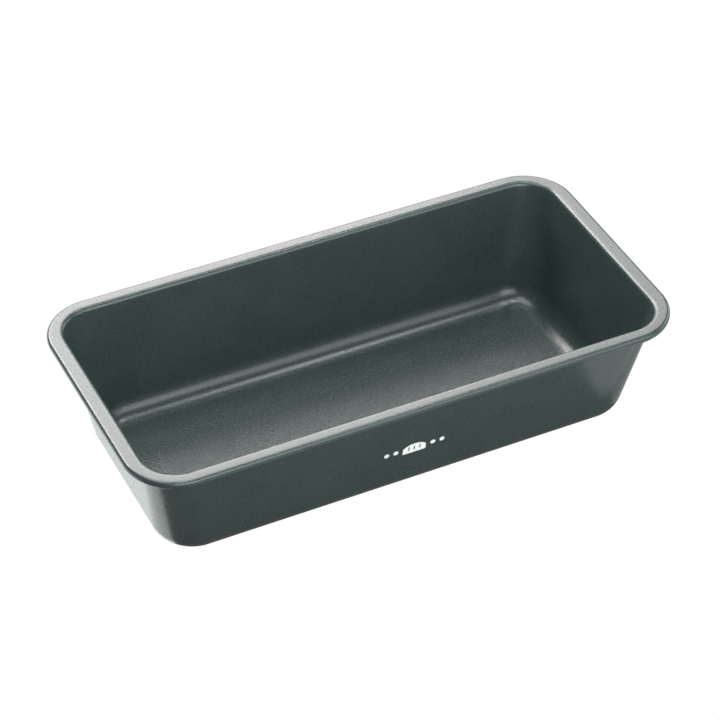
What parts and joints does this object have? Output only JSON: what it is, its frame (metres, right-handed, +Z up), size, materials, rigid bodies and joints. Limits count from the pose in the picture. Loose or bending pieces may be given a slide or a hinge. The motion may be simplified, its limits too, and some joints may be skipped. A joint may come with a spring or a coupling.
{
  "type": "loaf pan",
  "caption": "Deep rectangular loaf pan in coated pressed steel, with drafted walls, large rounded corners and base edge, and a flat rolled rim.",
  "frame": {"origin": "underside of the base, below the middle of the pan", "axes": "+X along the pan, +Z up out of its mouth, -Y the front, the long wall with the printed mark"},
  "size_m": [0.28, 0.1424, 0.064],
  "materials": {
    "nonstick_steel": "dark grey-green non-stick coating, fine satin texture with a slight metallic sheen",
    "wire_steel": "bright drawn steel wire, hidden inside the curled rim",
    "print_ink": "white pad-printing ink, matte"
  },
  "bodies": {
    "root": {"pan_shell": "nonstick_steel", "rim_wire": "wire_steel", "size_mark": "print_ink"}
  },
  "joints": []
}
